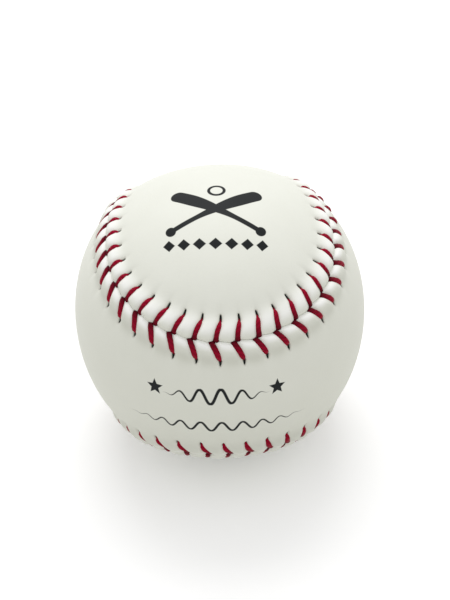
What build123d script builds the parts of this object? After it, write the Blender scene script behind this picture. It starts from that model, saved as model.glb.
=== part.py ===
"""A 12-inch softball: moulded core, yarn winding, two figure-eight cover panels and their lacing."""
from build123d import *
import os
from copy import deepcopy
from math import atan, cos, radians, sin, sqrt

# Layers of the ball, in millimetres
FIELD_DIAMETER = 96.0       # over the smooth middle of the cover panels
FACE_THICKNESS = 1.2        # coated face of the cover
BACKING_THICKNESS = 1.0     # textile bonded under the face
CEMENT_THICKNESS = 0.3      # latex cement between backing and winding
WINDING_THICKNESS = 5.0     # yarn round the core

# Seam line, which runs on the ball as four small-circle bends joined by four straight reaches
WAIST_WIDTH = 46.25         # over the curve, between the seams where a panel is narrowest
CROSSING_ANGLE = 8.6        # degrees that a straight reach leans where it passes between two lobes
SEAM_GAP = 0.5              # between the two panels' edges

# Raised ridge of cover on both sides of the seam
CREST_HEIGHT = 2.2          # crest over the panel field
CREST_SETBACK = 3.0         # crest from the seam line
CREST_RADIUS = 5.0          # round of the crest, across the seam
FOOT_RADIUS = 10.0          # hollow where the ridge runs out into the field
EDGE_DEPTH = 0.6            # underside of the sewn edge, below the field
BACKING_SETBACK = 8.0       # backing and cement stop this far from the seam, so the thread can pass

# Lacing: every stitch has one leg on each panel, and the two legs meet at the seam in a V
STITCH_COUNT = 80
THREAD_DIAMETER = 1.1
THREAD_CLEARANCE = 0.06     # between the thread and the hole or groove that it lies in
HOLE_SETBACK = 6.0          # awl holes from the seam line
STITCH_LEAN = 2.1           # a hole lies this far behind the point of its V
DIVE_SETBACK = 0.6         # legs go down beside the seam line, each on its own panel
FIRST_STITCH = -0.8         # first V from the middle of the front waist, along the seam
LEG_SINK = 0.35             # middle of a leg below the ridge's crest
LEG_BEND = 2.1              # bend of a leg over the ridge
TUCK_DEPTH = 1.2            # ends of a leg below the underside of the sewn edge

field_radius = FIELD_DIAMETER / 2
face_inner = field_radius - FACE_THICKNESS
backing_inner = face_inner - BACKING_THICKNESS
winding_radius = backing_inner - CEMENT_THICKNESS
core_radius = winding_radius - WINDING_THICKNESS
edge_radius = field_radius - EDGE_DEPTH
leg_radius = field_radius + CREST_HEIGHT - LEG_SINK
tuck_radius = edge_radius - TUCK_DEPTH
CENTRE = Vector(0, 0, 0)


def quarter_turn(v, turns):
    """The seam repeats itself after a quarter turn about Y with Y reversed."""
    for _ in range(turns):
        v = Vector(-v.Z, -v.Y, v.X)
    return v


def seam_arcs():
    """Circle arcs of the seam in sewing order: axis through the ball's centre, start direction, sweep."""
    waist = WAIST_WIDTH / 2 / field_radius
    lean = radians(CROSSING_ANGLE)
    half = sqrt(0.5)
    tilt = atan((cos(waist) - half * cos(lean)) / (sin(waist) + sin(lean)))
    bend_axis = Vector(0, -sin(tilt), cos(tilt))
    reach_pole = Vector(half * cos(lean), -sin(lean), half * cos(lean))
    waist_point = Vector(0, -cos(waist), sin(waist))
    crossing = Vector(-half, 0, half)
    join = (bend_axis - reach_pole * bend_axis.dot(reach_pole)).normalized()
    opposite_join = Vector(-join.X, join.Y, join.Z)
    flat_waist = waist_point - bend_axis * bend_axis.dot(waist_point)
    flat_join = join - bend_axis * bend_axis.dot(join)
    bend_sweep = 2 * flat_waist.get_angle(flat_join)
    reach_sweep = 2 * join.get_angle(crossing)
    arcs = []
    for turns in range(4):
        hand = (-1) ** (turns + 1)
        arcs.append((quarter_turn(bend_axis, turns) * hand, quarter_turn(opposite_join, turns), bend_sweep))
        arcs.append((quarter_turn(reach_pole, turns) * hand, quarter_turn(join, turns), reach_sweep))
    return arcs


ARCS = seam_arcs()


def arc_length(axis, start, sweep):
    return radians(sweep) * axis.cross(start).length * field_radius


seam_length = sum(arc_length(*arc) for arc in ARCS)
stitch_pitch = seam_length / STITCH_COUNT


def stitch_place(number):
    """Place of a stitch: X along the sewing direction, Z outward through its V, -Y towards panel 1."""
    distance = arc_length(*ARCS[0]) / 2 + FIRST_STITCH + number * stitch_pitch
    distance %= seam_length
    for axis, start, sweep in ARCS:
        length = arc_length(axis, start, sweep)
        if distance <= length:
            break
        distance -= length
    outward = start.rotate(Axis(CENTRE, axis), sweep * distance / length)
    return Plane(origin=CENTRE, x_dir=axis.cross(outward), z_dir=outward).location


def along_seam(profile):
    """A cross-section carried along the whole seam. Its X is towards panel 1 and its Y is outward."""
    spans = []
    for axis, start, sweep in ARCS:
        along = axis.cross(start).normalized()
        section = Plane(origin=CENTRE, x_dir=along.cross(start), z_dir=-along) * profile
        spans.append(revolve(section, axis=Axis(CENTRE, axis), revolution_arc=sweep))
    return spans[0].fuse(*spans[1:])


def at(offset, radius):
    """Point of a cross-section at an offset square to the seam plane, on a sphere of the ball."""
    return Vector(offset, sqrt(radius ** 2 - offset ** 2))


def sphere_arc(radius, start, end):
    return ThreePointArc(at(start, radius), at((start + end) / 2, radius), at(end, radius))


def layer(inner, outer, inset):
    """Panel 1's part of a shell of the ball, cut back from the seam by an inset."""
    shell = Sphere(outer) - Sphere(inner)
    room = Rectangle(2 * inset, 2 * (outer - inner + inset))
    pieces = shell - along_seam(Pos(0, (inner + outer) / 2) * room)
    return max(pieces.solids(), key=lambda piece: piece.center().Y)


def ridge():
    """Panel 1's sewn edge, from the seam to the foot of the ridge, and the offset of that foot."""
    crest_lift = field_radius + CREST_HEIGHT - CREST_RADIUS
    crest_centre = at(CREST_SETBACK, crest_lift)
    foot_lift = field_radius + FOOT_RADIUS
    reach = CREST_RADIUS + FOOT_RADIUS
    share = (crest_lift ** 2 + foot_lift ** 2 - reach ** 2) / (2 * crest_lift * foot_lift)
    outward = crest_centre.normalized()
    across = Vector(outward.Y, -outward.X)
    foot_centre = (outward * share + across * sqrt(1 - share ** 2)) * foot_lift
    foot = foot_centre * (field_radius / foot_lift)
    meet = crest_centre + (foot_centre - crest_centre) * (CREST_RADIUS / reach)
    hollow = foot_centre + ((meet + foot) * 0.5 - foot_centre).normalized() * FOOT_RADIUS
    edge = SEAM_GAP / 2
    valley = Vector(edge, crest_centre.Y + sqrt(CREST_RADIUS ** 2 - (crest_centre.X - edge) ** 2))
    outline = [
        Line(at(edge, edge_radius), valley),
        ThreePointArc(valley, crest_centre + outward * CREST_RADIUS, meet),
        ThreePointArc(meet, hollow, foot),
        Line(foot, at(foot.X, face_inner)),
        sphere_arc(face_inner, foot.X, BACKING_SETBACK),
        Line(at(BACKING_SETBACK, face_inner), at(BACKING_SETBACK, edge_radius)),
        sphere_arc(edge_radius, BACKING_SETBACK, edge),
    ]
    return along_seam(make_face(outline)), foot.X


def stitch_leg(side, radius, end_radius):
    """One leg at its place on the seam: out of the awl hole, over the ridge and down at the seam."""
    hole = Vector(-STITCH_LEAN, side * HOLE_SETBACK, field_radius).normalized()
    dive = Vector(0, side * DIVE_SETBACK, field_radius).normalized()
    corners = [hole * end_radius, hole * leg_radius, dive * leg_radius, dive * end_radius]
    spans = []
    for run in FilletPolyline(*corners, radius=LEG_BEND).edges():
        ring = Plane(origin=run @ 0, z_dir=run % 0) * Circle(radius)
        if run.geom_type == GeomType.LINE:
            spans.append(extrude(ring, amount=run.length))
        else:
            turn = Axis(run.arc_center, (run % 0).cross(run % 1))
            spans.append(revolve(ring, axis=turn, revolution_arc=(run % 0).get_angle(run % 1)))
    return spans[0].fuse(*spans[1:])


def stitches(side, radius, end_radius, step):
    leg = stitch_leg(side, radius, end_radius)
    return [stitch_place(n) * deepcopy(leg) for n in range(*step)]


def turned(piece):
    """Panel 2 and what lies under it are panel 1's, reversed along Y and turned a quarter."""
    return mirror(piece, about=Plane.XZ).rotate(Axis.Y, -90)


thread_radius = THREAD_DIAMETER / 2
groove_radius = thread_radius + THREAD_CLEARANCE
sewn_edge, foot_offset = ridge()
field = layer(face_inner, field_radius, foot_offset)
every_stitch = (STITCH_COUNT,)
panel = field + sewn_edge - stitches(-1, groove_radius, winding_radius, every_stitch)
backing = layer(backing_inner, face_inner, BACKING_SETBACK)
cement = layer(winding_radius, backing_inner, BACKING_SETBACK)


def lacing(needle):
    """One needle's legs, which change panels at every stitch."""
    legs = []
    for side in (-1, 1):
        first = needle if side < 0 else 1 - needle
        legs += stitches(side, thread_radius, tuck_radius, (first, STITCH_COUNT, 2))
    return Compound(legs)


nodes = {
    "core": Sphere(core_radius),
    "yarn_winding": Sphere(winding_radius) - Sphere(core_radius),
    "cement_coat_1": cement,
    "cement_coat_2": turned(cement),
    "cover_backing_1": backing,
    "cover_backing_2": turned(backing),
    "cover_panel_1": panel,
    "cover_panel_2": turned(panel),
    "lacing_thread_1": lacing(0),
    "lacing_thread_2": lacing(1),
}
os.makedirs("parts", exist_ok=True)
for name, shape in nodes.items():
    export_step(shape, f"parts/{name}.step")
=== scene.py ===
"""Looks of a 12-inch softball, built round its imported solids. Lengths are in metres."""
from math import asin, atan, cos, pi, radians, sin, sqrt

import bpy
import numpy as np
from mathutils import Matrix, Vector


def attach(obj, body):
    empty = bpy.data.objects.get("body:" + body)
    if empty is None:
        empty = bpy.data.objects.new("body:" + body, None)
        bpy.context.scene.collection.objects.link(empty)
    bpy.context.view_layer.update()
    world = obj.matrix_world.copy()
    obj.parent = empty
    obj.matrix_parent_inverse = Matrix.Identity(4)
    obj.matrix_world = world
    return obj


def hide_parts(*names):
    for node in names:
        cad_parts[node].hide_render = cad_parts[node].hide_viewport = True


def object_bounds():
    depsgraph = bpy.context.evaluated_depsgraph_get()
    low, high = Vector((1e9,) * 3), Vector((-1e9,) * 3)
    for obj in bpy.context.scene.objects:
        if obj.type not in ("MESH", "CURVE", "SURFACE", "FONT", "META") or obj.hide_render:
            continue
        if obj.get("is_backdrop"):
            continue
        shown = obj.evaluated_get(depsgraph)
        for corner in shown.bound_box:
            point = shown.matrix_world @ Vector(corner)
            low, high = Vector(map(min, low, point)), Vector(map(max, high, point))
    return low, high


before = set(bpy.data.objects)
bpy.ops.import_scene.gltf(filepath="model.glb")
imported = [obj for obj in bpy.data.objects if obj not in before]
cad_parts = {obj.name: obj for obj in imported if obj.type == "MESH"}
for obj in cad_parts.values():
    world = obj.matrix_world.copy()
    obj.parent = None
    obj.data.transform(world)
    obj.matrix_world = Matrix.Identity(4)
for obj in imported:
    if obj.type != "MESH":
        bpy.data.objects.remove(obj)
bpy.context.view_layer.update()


# Core: a ball of cork granules and rubber, moulded in one piece.
# It is the heart of the softball: the yarn is wound on it, and nothing of it shows outside.
MM = 0.001


class Wire:
    """A shader socket that Python arithmetic works on."""

    def __init__(self, tree, socket=None):
        self.tree = tree
        self.socket = socket

    def node(self, kind, settings=None, inputs=None, out=0):
        """Adds a node with its settings and the values or wires of its inputs, and gives one output."""
        made = self.tree.nodes.new("ShaderNode" + kind)
        for name, value in (settings or {}).items():
            setattr(made, name, value)
        for name, value in (inputs or {}).items():
            if isinstance(value, Wire):
                self.tree.links.new(value.socket, made.inputs[name])
            else:
                made.inputs[name].default_value = value
        return Wire(self.tree, made.outputs[out])

    def math(self, operation, other=0.0):
        """A Math node with this value first."""
        return self.node("Math", {"operation": operation}, {0: self, 1: other})

    def reflected(self, operation, other):
        """A Math node with this value second."""
        return self.node("Math", {"operation": operation}, {0: other, 1: self})

    def __add__(self, other):
        return self.math("ADD", other)

    def __sub__(self, other):
        return self.math("SUBTRACT", other)

    def __rsub__(self, other):
        return self.reflected("SUBTRACT", other)

    def __mul__(self, other):
        return self.math("MULTIPLY", other)

    def __truediv__(self, other):
        return self.math("DIVIDE", other)

    def __rtruediv__(self, other):
        return self.reflected("DIVIDE", other)

    def __pow__(self, other):
        return self.math("POWER", other)

    def __rpow__(self, other):
        return self.reflected("POWER", other)

    def __abs__(self):
        return self.math("ABSOLUTE")

    __radd__ = __add__
    __rmul__ = __mul__

    def tint(self, low, high):
        """Colour between two colours, by this value. A Mix node has its colours on sockets 6 and 7."""
        return self.node("Mix", {"data_type": "RGBA"}, {0: self, 6: low, 7: high}, out=2)


def srgb(red, green, blue):
    """A colour as it is written for a screen, in the linear values that a shader takes."""
    parts = [part / 255 for part in (red, green, blue)]
    return (*(part / 12.92 if part <= 0.04045 else ((part + 0.055) / 1.055) ** 2.4 for part in parts), 1.0)


def new_finish(name):
    """A material, its surface shader and the wire of its object coordinates."""
    material = bpy.data.materials.new(name)
    material.use_nodes = True
    tree = material.node_tree
    return material, tree.nodes["Principled BSDF"], Wire(tree).node("TexCoord", out="Object")


def set_finish(surface, **values):
    """Gives the named sockets of a shader a wire, or a number that is the same all over."""
    for name, value in values.items():
        socket = surface.inputs[name.replace("_", " ")]
        if isinstance(value, Wire):
            value.tree.links.new(value.socket, socket)
        else:
            socket.default_value = value


def bump(height, strength, distance):
    """Normal of a surface that a height roughens."""
    return height.node("Bump", None, {"Height": height, "Strength": strength, "Distance": distance})


def dress(node, material):
    """Gives a carried-over solid its finish."""
    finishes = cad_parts[node].data.materials
    finishes.clear()
    finishes.append(material)


CORK = srgb(120, 92, 64)
CORK_GAP = srgb(62, 48, 36)             # between two granules
CORK_SPECKLE = srgb(150, 118, 84)

cork, cork_surface, place = new_finish("cork_and_rubber")
granules = place.node("TexVoronoi", None, {"Vector": place, "Scale": 620.0})
speckles = place.node("TexNoise", None, {"Vector": place, "Scale": 300.0, "Detail": 3.0})
set_finish(
    cork_surface,
    Base_Color=speckles.tint(granules.tint(CORK, CORK_GAP), CORK_SPECKLE),
    Normal=bump(granules, strength=0.4, distance=0.4 * MM),
    Roughness=0.9,
)
dress("core", cork)


# Yarn winding: twisted grey-white yarn wound tight round the core by machine.
# It is hidden by the cement and the cover.
YARN_GREY = srgb(150, 148, 140)
YARN_WHITE = srgb(214, 210, 198)

yarn, yarn_surface, place = new_finish("wound_yarn")
strands = place.node(
    "TexWave", {"wave_type": "RINGS", "rings_direction": "SPHERICAL"},
    {"Vector": place, "Scale": 160.0, "Distortion": 14.0, "Detail": 2.0},
)
set_finish(
    yarn_surface,
    Base_Color=strands.tint(YARN_GREY, YARN_WHITE),
    Normal=bump(strands, strength=0.6, distance=0.5 * MM),
    Roughness=0.95,
)
dress("yarn_winding", yarn)


# Cement coats: latex brushed over the winding, which holds the two panels down.
# They stop short of the seam, where the thread passes under the cover.
LATEX_THICK = srgb(196, 172, 118)
LATEX_THIN = srgb(224, 206, 156)

latex, latex_surface, place = new_finish("latex_cement")
brushed = place.node("TexNoise", None, {"Vector": place, "Scale": 90.0, "Detail": 4.0})
set_finish(latex_surface, Base_Color=brushed.tint(LATEX_THICK, LATEX_THIN), Roughness=0.35 + brushed * 0.3)
for number in (1, 2):
    dress(f"cement_coat_{number}", latex)


# Backings: knitted cloth bonded under each panel's coated face.
# They are cut back along the sewn edges, so none of them shows.
KNIT_LOOP = srgb(150, 148, 140)
KNIT_GAP = srgb(110, 108, 102)

knit, knit_surface, place = new_finish("backing_knit")
loops = place.node("TexVoronoi", None, {"Vector": place, "Scale": 1400.0})
set_finish(
    knit_surface,
    Base_Color=loops.tint(KNIT_LOOP, KNIT_GAP),
    Normal=bump(loops, strength=0.5, distance=0.3 * MM),
    Roughness=0.95,
)
for number in (1, 2):
    dress(f"cover_backing_{number}", knit)


# Cover panels: two like figure-eight pieces of off-white synthetic leather, sewn edge to edge.
# The thread pulls both edges up into a raised ridge and gathers it into a pillow between stitches,
# and each leg of thread leaves an open slit at the awl hole that it goes down.
FIELD = 48.0 * MM           # radius over which lengths along the cover are measured
WAIST_WIDTH = 46.25 * MM    # between the seams where a panel is narrowest
CROSSING_ANGLE = radians(8.6)
HAND = {1: 1, 2: -1}        # panel 2 is sewn as panel 1 is, but from the other side of the seam


def quarter_turn(points):
    """Panel 2 is panel 1 with Y reversed and a quarter turn about Y."""
    return np.stack([-points[..., 2], -points[..., 1], points[..., 0]], -1)


def spin(points, axis, angle):
    """Turns unit vectors about an axis through the ball's centre."""
    cosine, sine = np.cos(angle)[..., None], np.sin(angle)[..., None]
    return points * cosine + np.cross(axis, points) * sine + axis * (points @ axis)[..., None] * (1 - cosine)


def seam_arcs():
    """The seam as circle arcs in sewing order: axis, start and sweep."""
    waist = WAIST_WIDTH / 2 / FIELD
    half = sqrt(0.5)
    lean = CROSSING_ANGLE
    tilt = atan((cos(waist) - half * cos(lean)) / (sin(waist) + sin(lean)))
    bend = np.array([0, -sin(tilt), cos(tilt)])
    pole = np.array([half * cos(lean), -sin(lean), half * cos(lean)])
    end = bend - pole * (bend @ pole)
    end /= np.linalg.norm(end)
    radius = pi / 2 - tilt - waist
    bend_sweep = 2 * asin(-end[0] / sin(radius))
    reach_sweep = 2 * np.arccos(end @ np.array([-half, 0, half]))
    start = end * np.array([-1, 1, 1])
    arcs = []
    for turn in range(4):
        side = (-1) ** (turn + 1)
        arcs.append((bend * side, start, bend_sweep))
        arcs.append((pole * side, end, reach_sweep))
        bend, pole, start, end = (quarter_turn(vector) for vector in (bend, pole, start, end))
    return arcs


ARCS = seam_arcs()
arc_ends = np.cumsum([sweep * np.linalg.norm(np.cross(axis, start)) for axis, start, sweep in ARCS]) * FIELD
seam_length = arc_ends[-1]
waist_middle = arc_ends[0] / 2


def seam(along):
    """Outward and sewing directions at distances along the seam."""
    along = np.mod(along, seam_length)
    which = np.minimum(np.searchsorted(arc_ends, along), len(ARCS) - 1)
    outward = np.zeros(along.shape + (3,))
    forward = np.zeros(along.shape + (3,))
    for number, (axis, start, sweep) in enumerate(ARCS):
        on = which == number
        before = arc_ends[number - 1] if number else 0.0
        turn = sweep * (along[on] - before) / (arc_ends[number] - before)
        outward[on] = spin(np.broadcast_to(start, turn.shape + (3,)), axis, turn)
        forward[on] = np.cross(axis, outward[on])
    forward /= np.linalg.norm(forward, axis=-1, keepdims=True)
    return outward, forward


def facing(along, across):
    """Direction from the ball's centre of a spot on panel 1, across from the seam."""
    outward, forward = seam(along)
    angle = (across / FIELD)[..., None]
    return outward * np.cos(angle) + np.cross(forward, outward) * np.sin(angle)


LOBE_RADIUS = 46.65 * MM    # what the cover would be far from any seam
SWELL = 1.9 * MM            # broad rise of the cover towards the seam
SWELL_REACH = 26.0 * MM     # distance over which that rise dies away
SEAM_SAMPLES = 600
AT_ONCE = 8000              # spots worked out together, to spare memory

seam_samples = seam(np.linspace(0, seam_length, SEAM_SAMPLES, endpoint=False))[0]


def swelling(directions):
    """Radius of the cover, without its pillows: it rises smoothly towards the seam all round."""
    flat = directions.reshape(-1, 3)
    rise = np.empty(len(flat))
    for first in range(0, len(flat), AT_ONCE):
        apart = 2 - 2 * flat[first:first + AT_ONCE] @ seam_samples.T
        rise[first:first + AT_ONCE] = np.exp(-apart * (FIELD / SWELL_REACH) ** 2).sum(1)
    rise *= seam_length / SEAM_SAMPLES / (SWELL_REACH * sqrt(pi))
    return LOBE_RADIUS + SWELL * rise.reshape(directions.shape[:-1])


def step(value, low, high):
    """Smooth step from 0 at low to 1 at high."""
    share = np.clip((value - low) / (high - low), 0, 1)
    return share * share * (3 - 2 * share)


def hump(value, width):
    """Bell that is 1 at 0 and about a third at its width."""
    return np.exp(-(value / width) ** 2)


# The stitches were sewn by hand and aren't all alike. Each profile gives a value along the seam, by
# millimetres to the left of the middle of the front waist, and it holds its end values beyond its ends.
STITCHES = 80
FIRST_STITCH = -0.8 * MM    # first stitch from the middle of the front waist
HOLE_SETBACK = 6.0 * MM     # from the seam to an awl hole
STITCH_LEAN = 2.1 * MM      # how far a hole lies behind the point of its V
PROFILE_START = 100         # millimetres to the right of the front where every profile begins
CROWDING = {-85: 1.6, -40: 0, 22: 0, 70: -2.2, 110: -2.2, 231: -2.4, 246: -0.4, 320: -0.4, 409: 1.6}
HOLE_REACH = {
    1: {-64: 0.70, -45: 0.80, -32: 1, 32: 1, 45: 0.80, 64: 0.70},
    2: {150: 1, 200: 0.80, 262: 0.80, 285: 1},
}
LEAN_SHARE = {
    1: {24: 1, 45: 0, 170: 0, 200: 1},
    2: {-62: 0.4, -50: 1, 380: 1, 409: 0.4},
}
DRAWN = {250: 0, 275: 1.8, 310: 1.8, 340: 0}
DRAWN_WIDTH = 8.0 * MM

pitch = seam_length / STITCHES


def even_place(stitch, panel):
    """Distance of a stitch from the middle of the front waist, were the stitches sewn evenly."""
    return FIRST_STITCH + (stitch if panel == 1 else stitch + STITCHES / 4) * pitch


def along_seam(stitch, panel, profile):
    """What a profile says at a stitch."""
    left = np.mod(even_place(stitch, panel) / MM + PROFILE_START, seam_length / MM) - PROFILE_START
    return np.interp(left, list(profile), list(profile.values()))


def sewn(stitch, panel):
    """Distance of a stitch along the seam. They crowd a little at both sides of the front."""
    crowding = along_seam(stitch, panel, CROWDING) * MM
    return waist_middle + even_place(stitch, panel) + crowding - (0 if panel == 1 else seam_length / 4)


def hole_reach(stitch, panel):
    """Share of the full setback that a hole has. They are closer to the seam round the sides and below."""
    return along_seam(stitch, panel, HOLE_REACH[panel])


def lean_at(across, stitch, panel):
    """The stitches lean, so a hole lies behind the point of its V. Round the sides some stand squarer."""
    lean = -STITCH_LEAN / HOLE_SETBACK * np.minimum(across, HOLE_SETBACK)
    return lean * along_seam(stitch, panel, LEAN_SHARE[panel])


def wander(stitch, panel, across):
    """Shift of a spot where the seam was drawn a little towards panel 1, at the lower right."""
    drawn = along_seam(stitch, panel, DRAWN) * MM
    return drawn * hump(across, DRAWN_WIDTH) * HAND[panel]


# The gathered ridge, measured across from the seam.
RIDGE_WIDTH = 6.3 * MM
RIDGE_STEEPNESS = 4         # power that makes its outer slope steep
SEAM_DIP = 0.65             # share of the ridge that is missing at the seam
SEAM_DIP_WIDTH = 0.8 * MM
SEAM_DIP_POWER = 1.2
PRESSED = 0.35 * MM         # what is left of the ridge under a thread
GRIP = 1.25 * MM            # how far beside its leg a thread presses the leather down
PILLOW = 1.25 * MM          # swelling of the ridge between two stitches
PILLOW_SPREAD = 0.10        # by how much the pillows differ
PILLOW_SHARE = {1: {0: 1}, 2: {-98: 1, -84: 0.3, -64: 0.3, -54: 1}}
VALLEY = 0.26 * MM          # sharp dip at the seam line
VALLEY_WIDTH = 0.4 * MM
DIMPLE = {"depth": 0.30 * MM, "middle": 6.9 * MM, "wide": 1.3 * MM, "long": 1.5 * MM}
PUCKER = {"depth": 0.14 * MM, "middle": 9.0 * MM, "wide": 1.1 * MM, "long": 1.9 * MM}
SLIT_DEPTH = 1.05 * MM
SLIT_HALF_WIDTH = 0.44 * MM
SLIT_NARROWING = {1: 0.10 * MM, 2: 0.26 * MM}
SLIT_NARROWS_FROM = 5.9 * MM
SLIT_OPENS = (5.3 * MM, 5.8 * MM)
SLIT_END = 7.9 * MM
SLIT_END_SHIFT = 1.5 * MM   # longer or shorter, times the slit's own share
SLIT_SPREAD = 0.15          # by how much the slits differ
SLIT_CLOSES = (-0.5 * MM, 0.15 * MM)

chance = np.random.default_rng(12)
pillow_size = 1 + PILLOW_SPREAD * chance.standard_normal(STITCHES)
slit_size = 1 + SLIT_SPREAD * chance.standard_normal(STITCHES)


def ridge(across):
    """Cross-section of the gathered ridge, low at the seam, 1 at its crest and 0 in the field."""
    dip = SEAM_DIP * np.exp(-(across / SEAM_DIP_WIDTH) ** SEAM_DIP_POWER)
    return (1 - dip) * np.exp(-(across / RIDGE_WIDTH) ** RIDGE_STEEPNESS)


def dent(beside, across, depth, middle, wide, long):
    """A soft round dent in line with a leg."""
    return depth * hump(beside, wide) * hump(across - middle, long)


# Painted light and shade on the ridge: a painted highlight on each pillow, which starts away from the seam
# on panel 1 and stays close to the seam on panel 2, and painted shade along the foot of panel 2's ridge.
HIGHLIGHT_FROM = (0.8 * MM, 4.2 * MM)
HIGHLIGHT_UNTIL = (1.2 * MM, 3.2 * MM)
PAINTED_FOOT_SHADE = 0.6
FOOT_MIDDLE = 5.6 * MM
FOOT_WIDTH = 2.3 * MM


def relief(stitch, across, panel):
    """Height of the gathered cover over its swelling, depth of a spot in a slit, and its painted highlight
    and shade.
    """
    leg = np.round(stitch).astype(int) % STITCHES
    gap = np.floor(stitch).astype(int) % STITCHES
    beside = (stitch - np.round(stitch)) * pitch
    loose = 1 - hump(beside, GRIP)
    puff = PILLOW * pillow_size[gap] * along_seam(stitch, panel, PILLOW_SHARE[panel])
    slit_end = SLIT_END + SLIT_END_SHIFT * (slit_size[leg] - 1)
    slit_width = SLIT_HALF_WIDTH - SLIT_NARROWING[panel] * step(across, SLIT_NARROWS_FROM, slit_end)
    closed = step(across, slit_end + SLIT_CLOSES[0], slit_end + SLIT_CLOSES[1])
    inside = step(across, *SLIT_OPENS) * (1 - closed) * hump(beside, slit_width)
    height = ridge(across) * (PRESSED + puff * loose) - VALLEY * hump(across, VALLEY_WIDTH)
    height -= dent(beside, across, **DIMPLE) + dent(beside, across, **PUCKER) + SLIT_DEPTH * inside
    # Painted highlight on the pillows, and painted shade at the foot of panel 2's ridge.
    if panel == 1:
        painted_light_and_shade = ridge(across) * step(across, *HIGHLIGHT_FROM)
    else:
        painted_light_and_shade = 1 - step(across, *HIGHLIGHT_UNTIL) - PAINTED_FOOT_SHADE * hump(across - FOOT_MIDDLE, FOOT_WIDTH)
    return height, inside, painted_light_and_shade * loose


# Each panel is one flat strip of quads that runs along the whole seam and closes on itself. Its rows go
# under the cover, round the sewn edge, over the ridge and across the field to the panel's own middle line.
COVER_INSIDE = 46.9 * MM    # underside of a panel
BAND = 14.0 * MM            # width of the strip that follows the seam
EDGE = 0.05 * MM            # half of the slit left between the two sewn edges
ZIGZAG = 0.50 * MM          # sideways pull of the stitches on the seam line
PULL_GRIP = 0.6 * MM        # how far beside a leg that pull turns over
PULL_REACH = 3.0 * MM       # how far across from the seam that pull is felt
PER_STITCH = 16
COLUMN_CROWDING = 1.6       # power that crowds the columns towards each leg
UNDER_ROWS = 8
EDGE_ROWS = 2
BAND_ROWS = 42
ROW_CROWDING = 1.45         # power that crowds the rows towards the seam
FIELD_ROWS = 12
SPINE_STEPS = 140
MERGED = 0.001 * MM         # corners closer than this are made one


def between(first, last, share):
    """Directions on the great circle from one direction to another."""
    angle = np.arccos(np.clip((first * last).sum(-1), -1, 1))
    near = np.sin((1 - share) * angle)[..., None] * first + np.sin(share * angle)[..., None] * last
    return near / np.linalg.norm(near, axis=-1, keepdims=True)


def middle_line(along):
    """Direction on panel 1's middle line that faces a spot of the seam.

    Arcs 0 and 4 of the seam go round the panel's two lobes, and the arcs between them run along it.
    """
    tilt = asin(ARCS[0][0][1])
    share = np.interp(np.mod(along, seam_length), [0, *arc_ends[[0, 3, 4, 7]]], [0, 0, 1, 1, 0])
    angle = np.round(share * SPINE_STEPS) / SPINE_STEPS * (pi + 2 * tilt) - tilt
    return np.stack([np.zeros_like(angle), np.sin(angle), np.cos(angle)], -1)


def panel_shape(columns, rows, panel):
    """Lays a flat strip on the ball as panel 1: its corners, how deep in a slit each is and its painted
    light and shade.
    """
    spread = columns / PER_STITCH
    leg = np.round(spread)
    off = (spread - leg) * 2
    stitch = leg + np.sign(off) * np.abs(off) ** COLUMN_CROWDING / 2
    along = sewn(stitch, panel)
    reach = hole_reach(stitch, panel)
    top_row = rows - UNDER_ROWS - EDGE_ROWS
    across = EDGE + np.clip(top_row / BAND_ROWS, 0, 1) ** ROW_CROWDING * (BAND - EDGE)
    under_share = np.clip(1 - rows / UNDER_ROWS, 0, 1)
    field_share = np.clip((top_row - BAND_ROWS) / FIELD_ROWS, 0, 1)
    inward = np.where(top_row < 0, under_share, field_share)
    free = 1 - hump((spread - leg) * pitch, PULL_GRIP)
    pull = (2 * np.mod(stitch, 1) - 1) * free * hump(across, PULL_REACH)
    pulled = across + HAND[panel] * ZIGZAG * pull + wander(stitch, panel, across)
    near_seam = facing(along + lean_at(across / reach, stitch, panel), pulled)
    direction = between(near_seam, middle_line(along + lean_at(BAND, stitch, panel)), inward)
    height, inside, painted_light_and_shade = relief(stitch, across / reach, panel)
    radius = swelling(direction) + height
    radius = np.where(top_row == -1, (radius + COVER_INSIDE) / 2, radius)
    radius = np.where(top_row < -1, COVER_INSIDE, radius)
    return direction * radius[..., None], np.where(top_row < 0, 0.0, inside), painted_light_and_shade


def flat_strip(name, columns, rows):
    """A flat sheet of quads, with the column and row of each of its corners."""
    bpy.ops.object.select_all(action="DESELECT")
    bpy.ops.mesh.primitive_grid_add(x_subdivisions=columns, y_subdivisions=rows, size=1)
    sheet = bpy.context.object
    sheet.name = name
    corners = np.empty(len(sheet.data.vertices) * 3)
    sheet.data.vertices.foreach_get("co", corners)
    corners = corners.reshape(-1, 3) + 0.5
    return sheet, np.rint(corners[:, 0] * columns), np.rint(corners[:, 1] * rows)


def shape(sheet, points):
    """Moves the corners of a sheet to their places and closes it where they meet."""
    sheet.data.vertices.foreach_set("co", points.ravel())
    bpy.ops.object.select_all(action="DESELECT")
    bpy.context.view_layer.objects.active = sheet
    sheet.select_set(True)
    bpy.ops.object.mode_set(mode="EDIT")
    bpy.ops.mesh.select_all(action="SELECT")
    bpy.ops.mesh.remove_doubles(threshold=MERGED)
    bpy.ops.mesh.normals_make_consistent(inside=False)
    bpy.ops.object.mode_set(mode="OBJECT")
    bpy.ops.object.shade_smooth()


def rise(value, low, high, kind="LINEAR", start=0.0, end=1.0):
    """Wire that goes from start where a value is low to end where it is high, and stays there beyond."""
    ends = {"From Min": low, "From Max": high, "To Min": start, "To Max": end}
    return value.node("MapRange", {"interpolation_type": kind}, {"Value": value, **ends})


LEATHER_DULL = srgb(232, 233, 223)
LEATHER_CLEAR = srgb(237, 238, 229)
LEATHER_PAINTED_HIGHLIGHT = srgb(253, 253, 250)
LEATHER_PAINTED_SHADE = srgb(210, 211, 200)
# Painted shade: the deep part of each slit is coloured dark.
SLIT_PAINTED_SHADE = srgb(40, 46, 42)
SLIT_SHADE_SPAN = (0.22, 0.6)    # depth in a slit where the dark starts and where it is full

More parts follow.
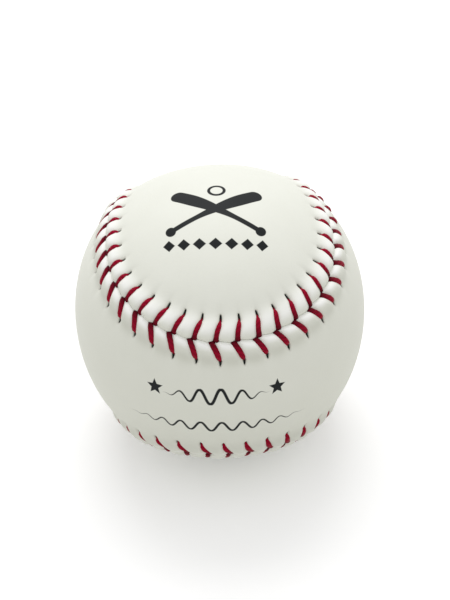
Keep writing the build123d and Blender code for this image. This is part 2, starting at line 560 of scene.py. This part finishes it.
leather, leather_surface, place = new_finish("coated_leather")
grain = place.node(
    "TexVoronoi", {"feature": "SMOOTH_F1"}, {"Vector": place, "Scale": 1500.0, "Smoothness": 0.6}
)
mottle = place.node("TexNoise", None, {"Vector": place, "Scale": 120.0, "Detail": 4.0})
# Painted shade in the slits, growing with their depth.
slit_shade = rise(place.node("Attribute", {"attribute_name": "inside"}, out="Fac"), *SLIT_SHADE_SPAN)
# Painted highlight on the pillows and painted shade at the foot of panel 2's ridge, tinted into the leather.
painted_shading = place.node("Attribute", {"attribute_name": "painted_light_and_shade"}, out="Fac")
skin = mottle.tint(LEATHER_DULL, LEATHER_CLEAR)
skin = painted_shading.tint(skin, LEATHER_PAINTED_HIGHLIGHT)
skin = (painted_shading * -1.0).tint(skin, LEATHER_PAINTED_SHADE)


# The ink is printed on the leather: plain crossed bats under a ring and over a row of diamonds on the top
# lobe, and two stars with waved lines on the front waist. Its sizes are in millimetres.
INK = srgb(2, 8, 10)
INK_EDGE = 0.10             # half of the soft rim of a printed shape
NEAR_SIDE = 20 * MM         # how far a place faces a print's way before it can take that ink


def tangent(place, azimuth, elevation):
    """Millimetres right and up from a spot on the ball, and how far a place faces the spot's way."""
    turn, height = radians(azimuth), radians(elevation)
    middle = (sin(turn) * cos(height), -cos(turn) * cos(height), sin(height))
    right = (cos(turn), sin(turn), 0.0)
    up = tuple(np.cross(middle, right))
    ahead, across, above = (
        place.node("VectorMath", {"operation": "DOT_PRODUCT"}, {0: place, 1: axis}, out="Value")
        for axis in (middle, right, up)
    )
    return across / ahead * (FIELD / MM), above / ahead * (FIELD / MM), ahead


STAR_EDGE = (0.384, 0.923)  # the way that an edge of the star faces: out to its tip, and aside


def star(x, y, size):
    """Distance outside a five-pointed star."""
    from_tip = x.math("ARCTAN2", y).math("PINGPONG", pi / 5)
    away = (x ** 2 + y ** 2) ** 0.5
    outward, aside = STAR_EDGE
    return away * (from_tip.math("COSINE") * outward + from_tip.math("SINE") * aside) - outward * size


def wave(x, y, period, swing, length, stroke):
    """Distance outside a plain waved line that thins to both ends."""
    turn = 2 * pi / period
    angle = x * turn
    fade = 1 - (x / (length / 2)) ** 2
    steepness = angle.math("COSINE") * fade * (swing * turn)
    aside = abs(y - angle.math("SINE") * fade * swing) / (steepness ** 2 + 1) ** 0.5
    return aside - fade * (stroke / 2)


def diamonds(x, y, spacing, count, size):
    """Distance outside a row of plain diamonds."""
    past_row = abs(x) - spacing * count / 2
    aside = (x + spacing * (count - 1) / 2).math("PINGPONG", spacing / 2)
    return ((aside + abs(y) - size) * sqrt(0.5)).math("MAXIMUM", past_row)


BAT_LEAN = radians(30)
BAT_HEEL = -16.0
BAT_TIP = 14.5
BAT_TAPER = (-8.0, 10.0)    # where the grip ends and where the barrel is full
BAT_GRIP_RADIUS = 0.9
BAT_BARREL_RADIUS = 2.5
KNOB_PLACE = -16.5
KNOB_RADIUS = 1.8


def bat(x, y, lean):
    """Distance outside a bat that lies at a lean, with its knob at the low end."""
    run = x * cos(lean) + y * sin(lean)
    side = y * cos(lean) - x * sin(lean)
    held = run.math("MAXIMUM", BAT_HEEL).math("MINIMUM", BAT_TIP)
    thick = rise(run, *BAT_TAPER, "SMOOTHSTEP", BAT_GRIP_RADIUS, BAT_BARREL_RADIUS)
    shaft = ((run - held) ** 2 + side ** 2) ** 0.5 - thick
    knob = ((run - KNOB_PLACE) ** 2 + side ** 2) ** 0.5 - KNOB_RADIUS
    return shaft.math("MINIMUM", knob)


def ring(x, y, radius, stroke):
    """Distance outside a thin ring."""
    return abs((x ** 2 + y ** 2) ** 0.5 - radius) - stroke / 2


def inked(ahead, *distances):
    """Mask of the ink inside any of the shapes, on the near side of the ball."""
    nearest = distances[0]
    for distance in distances[1:]:
        nearest = nearest.math("MINIMUM", distance)
    return rise(nearest, INK_EDGE, -INK_EDGE) * ahead.math("GREATER_THAN", NEAR_SIDE)


BATS_ABOVE = 2.4            # heights of the marks over the middle of the top print
RING_ABOVE = 11.4
DIAMONDS_BELOW = 11.2
STARS_ASIDE = 20.0
STAR_SIZE = 3.2
WAVE_BELOW = 1.4
LOW_WAVE_SAG = 0.002        # bend of the lower line, per millimetre aside

x, y, ahead = tangent(place, azimuth=-6.5, elevation=76.5)
top_ink = inked(
    ahead,
    bat(x, y - BATS_ABOVE, BAT_LEAN),
    bat(x * -1.0, y - BATS_ABOVE, BAT_LEAN),
    ring(x, y - RING_ABOVE, radius=2.5, stroke=1.0),
    diamonds(x, y + DIAMONDS_BELOW, spacing=5.0, count=7, size=2.1),
)
x, y, ahead = tangent(place, azimuth=-7.0, elevation=7.6)
front_ink = inked(
    ahead,
    star(x + STARS_ASIDE, y, STAR_SIZE),
    star(x - STARS_ASIDE, y, STAR_SIZE),
    wave(x, y + WAVE_BELOW, period=6.5, swing=2.7, length=33.0, stroke=1.0),
)
x, y, ahead = tangent(place, azimuth=-7.0, elevation=-9.0)
low_ink = inked(ahead, wave(x, y + x ** 2 * LOW_WAVE_SAG, period=6.5, swing=1.9, length=62.0, stroke=0.85))
ink = top_ink.math("MAXIMUM", front_ink.math("MAXIMUM", low_ink))

set_finish(
    leather_surface,
    Base_Color=slit_shade.tint(ink.tint(skin, INK), SLIT_PAINTED_SHADE),
    Normal=bump(grain * 0.6 + mottle * 0.4, strength=0.10, distance=0.3 * MM),
    Roughness=0.46 + mottle * 0.10,
    Specular_IOR_Level=0.2,
)

for number in (1, 2):
    panel, columns, rows = flat_strip(
        f"panel_{number}", PER_STITCH * STITCHES, UNDER_ROWS + EDGE_ROWS + BAND_ROWS + FIELD_ROWS
    )
    points, inside, painted_light_and_shade = panel_shape(columns, rows, number)
    panel.data.attributes.new("inside", "FLOAT", "POINT").data.foreach_set("value", inside)
    # Painted light and shade of the ridge, carried to the leather's colour.
    panel.data.attributes.new("painted_light_and_shade", "FLOAT", "POINT").data.foreach_set("value", painted_light_and_shade)
    shape(panel, points if number == 1 else quarter_turn(points))
    panel.data.materials.append(leather)
    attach(panel, "root")
    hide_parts(f"cover_panel_{number}")


# Lacing: two lengths of waxed crimson thread, sewn with two needles, lacing the edges together in Vs.
# Each leg comes up in the seam, lies over the ridge and goes down an awl hole, where it is pulled tight.
SIDES = 8
RINGS = 10
RING_CROWDING = 0.1         # how far the rings crowd towards both ends
BLUNTNESS = 20              # power that keeps a leg full until close to its ends
LEG_HALF_WIDTH = 0.90 * MM
LEG_HALF_HEIGHT = 0.56 * MM
LEG_START = 6.8 * MM        # end in the hole, measured from the seam
LEG_END = -0.25 * MM        # end in the seam
TAPER = 0.45                # share of its width that a leg loses towards the hole
TAPER_SPAN = (3.4 * MM, 6.6 * MM)
FLATTENING = 0.7            # share of that loss that its height takes part in
POINT_SHIFT = 0.6 * MM      # how far along the seam a leg is drawn where it comes up
POINT_SPAN = (0.3 * MM, 3.6 * MM)
BED = 0.28 * MM             # middle of the thread over the pressed ridge
HOLE_DROP = 1.9 * MM        # how deep a leg goes down its hole
HOLE_DROP_SPAN = (5.0 * MM, 6.6 * MM)
SEAM_DROP = 0.20 * MM       # how deep it lies in the seam
SEAM_DROP_SPAN = (-0.3 * MM, 1.3 * MM)
PINCH = {1: {-45: 0.65, -15: 0, 380: 0, 409: 0.65}, 2: {0: 0}}
PINCH_SPAN = (0.2 * MM, 3.4 * MM)
SUNK = {1: {0: 0}, 2: {-72: 1.1, -58: 0, 380: 0, 409: 1.1}}
SUNK_SPAN = (1.4 * MM, 3.6 * MM)


def leg_shape(columns, rows, number, panel):
    """Rolls a flat strip into one leg of thread on panel 1, pulled down at both ends."""
    share = rows / RINGS
    full = np.sqrt(np.clip(1 - np.abs(2 * share - 1) ** BLUNTNESS, 0, 1))
    share = share - RING_CROWDING * np.sin(2 * pi * share)
    middle = LEG_START + (LEG_END - LEG_START) * share
    taper = TAPER * step(middle, *TAPER_SPAN)
    pinch = along_seam(number, panel, PINCH[panel]) * (1 - step(middle, *PINCH_SPAN))
    full = full * (1 - pinch)
    angle = 2 * pi * columns / SIDES
    wide = LEG_HALF_WIDTH * full * (1 - taper) * np.cos(angle)
    tall = LEG_HALF_HEIGHT * full * (1 - FLATTENING * taper) * np.sin(angle)
    slope = sqrt(HOLE_SETBACK ** 2 + STITCH_LEAN ** 2)
    along = sewn(number, panel) + lean_at(middle, number, panel) + wide * HOLE_SETBACK / slope
    along = along - HAND[panel] * POINT_SHIFT * (1 - step(middle, *POINT_SPAN))
    across = middle * hole_reach(number, panel) + wander(number, panel, middle)
    across = across + wide * STITCH_LEAN / slope
    bed = ridge(np.maximum(middle, 0)) * PRESSED + BED - HOLE_DROP * step(middle, *HOLE_DROP_SPAN)
    bed = bed - SEAM_DROP * (1 - step(middle, *SEAM_DROP_SPAN))
    bed = bed - along_seam(number, panel, SUNK[panel]) * MM * (1 - step(middle, *SUNK_SPAN))
    direction = facing(along, across)
    return direction * (swelling(direction) + bed + tall)[..., None]


CRIMSON_DEEP = srgb(126, 0, 30)
CRIMSON = srgb(164, 0, 43)
# Painted shade: each leg of thread is darker towards its end in the seam.
CRIMSON_PAINTED_SHADE = srgb(70, 0, 14)    # where a leg lies in the seam
PAINTED_SHADE_SPAN = (0.35, 1.0)           # share of a leg over which it darkens
STRANDS = 3
TWISTS = 7                          # turns of the strands on one leg

waxed, waxed_surface, place = new_finish("waxed_thread")
fibre = place.node("UVMap", {"uv_map": "UVMap"})
around = fibre.node("SeparateXYZ", None, {0: fibre}, out="X")
length = fibre.node("SeparateXYZ", None, {0: fibre}, out="Y")
twist = ((around * STRANDS + length * TWISTS) * (2 * pi)).math("SINE") * 0.5 + 0.5
fuzz = place.node("TexNoise", None, {"Vector": place, "Scale": 2600.0, "Detail": 3.0})
lay = twist * 0.7 + fuzz * 0.3
# Painted shade, deepening towards the seam end of each leg.
seam_shade = rise(length, *PAINTED_SHADE_SPAN, "SMOOTHSTEP")
set_finish(
    waxed_surface,
    Base_Color=seam_shade.tint(lay.tint(CRIMSON_DEEP, CRIMSON), CRIMSON_PAINTED_SHADE),
    Normal=bump(lay, strength=0.25, distance=0.2 * MM),
    Roughness=0.5,
    Specular_IOR_Level=0.08,
)

for number in (1, 2):
    legs = []
    for panel in (1, 2):
        first = (number + panel) % 2
        for stitch in range(first, STITCHES, 2):
            leg, columns, rows = flat_strip(f"leg_{number}", SIDES, RINGS)
            points = leg_shape(columns, rows, stitch, panel)
            shape(leg, points if panel == 1 else quarter_turn(points))
            legs.append(leg)
    bpy.ops.object.select_all(action="DESELECT")
    for leg in legs:
        leg.select_set(True)
    bpy.context.view_layer.objects.active = legs[0]
    bpy.ops.object.join()
    lace = bpy.context.object
    lace.name = f"lace_{number}"
    lace.data.materials.append(waxed)
    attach(lace, "root")
    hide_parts(f"lacing_thread_{number}")


# Studio: a plain white table, one broad soft lamp above and behind the ball and an even white room.
# The camera sees the table and the room as white. The light that they throw on the ball is a little less,
# so that the pale leather keeps its own colour.
TABLE_SIZE = 8.0
TABLE_WHITE = srgb(250, 250, 250)
TABLE_SHADE = srgb(212, 212, 206)   # colour of the light that it throws back on the ball
BLACK = (0, 0, 0, 1)
WHITE = (1, 1, 1, 1)
LAMP_PLACE = (0, 0.55, 0.95)
LAMP_TILT = radians(-30)
LAMP_SIZE = (0.8, 0.6)
LAMP_POWER = 4.8
ROOM_LIGHT = 0.775

bpy.ops.object.select_all(action="DESELECT")
lowest = min(corner[2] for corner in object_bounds())
bpy.ops.mesh.primitive_plane_add(size=TABLE_SIZE, location=(0, 0, lowest))
table = bpy.context.object
table.name = "table"


def seen_directly(place):
    """1 for what the camera sees, also in a reflection or through glass, and 0 for light on the object."""
    rays = [place.node("LightPath", out=f"Is {kind} Ray") for kind in ("Camera", "Glossy", "Transmission")]
    return (rays[0] + rays[1] + rays[2]).math("MINIMUM", 1.0)


white, white_surface, place = new_finish("white_table")
seen = seen_directly(place)
set_finish(
    white_surface,
    Base_Color=seen.tint(TABLE_SHADE, TABLE_WHITE),
    Emission_Color=seen.tint(BLACK, WHITE),
    Emission_Strength=0.18,
    Roughness=0.9,
)
table.data.materials.append(white)
table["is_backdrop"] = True

bpy.ops.object.light_add(type="AREA", location=LAMP_PLACE)
lamp = bpy.context.object
lamp.name = "softbox"
lamp.data.shape = "RECTANGLE"
lamp.data.size, lamp.data.size_y = LAMP_SIZE
lamp.data.energy = LAMP_POWER
lamp.rotation_euler = (LAMP_TILT, 0, 0)

scene = bpy.context.scene
world = bpy.data.worlds.new("studio")
world.use_nodes = True
room_seen = seen_directly(Wire(world.node_tree))
room = world.node_tree.nodes["Background"]
set_finish(room, Color=WHITE, Strength=ROOM_LIGHT + room_seen * (1 - ROOM_LIGHT))
scene.world = world
scene.view_settings.view_transform = "Standard"


# Camera: a little left of the front and well above it, 46 cm from the middle of the ball.
# Its place, roll and focal length were fitted to the points of the Vs, together with the seam.
TOWARD_CAMERA = (-0.0624, -0.7752, 0.6286)
DISTANCE = 0.459
ROLL = radians(1.63)
PHOTO_HEIGHT = 600          # in pixels, as the next two are
FOCAL_LENGTH = 1394.57
OFF_MIDDLE = (5.2, 9.6)     # the photo's middle, right of and above the middle of the ball
SENSOR_HEIGHT = 36
NEAREST_SEEN = 0.01

toward = np.array(TOWARD_CAMERA) / np.linalg.norm(TOWARD_CAMERA)
upright = np.array([0, 0, 1]) - toward[2] * toward
upright /= np.linalg.norm(upright)
level = np.cross(upright, toward)
up = cos(ROLL) * upright + sin(ROLL) * level
right = np.cross(up, toward)
aim = (right * OFF_MIDDLE[0] + up * OFF_MIDDLE[1]) * DISTANCE / FOCAL_LENGTH
back = toward * DISTANCE - aim
back /= np.linalg.norm(back)
right = np.cross(up, back)
right /= np.linalg.norm(right)
up = np.cross(back, right)
bpy.ops.object.camera_add(location=toward * DISTANCE)
camera = bpy.context.object
camera.name = "camera"
camera.rotation_mode = "QUATERNION"
camera.rotation_quaternion = Matrix(np.stack([right, up, back], 1)).to_quaternion()
camera.data.sensor_fit = "VERTICAL"
camera.data.sensor_height = SENSOR_HEIGHT
camera.data.lens = SENSOR_HEIGHT * FOCAL_LENGTH / PHOTO_HEIGHT
camera.data.clip_start = NEAREST_SEEN
scene.camera = camera
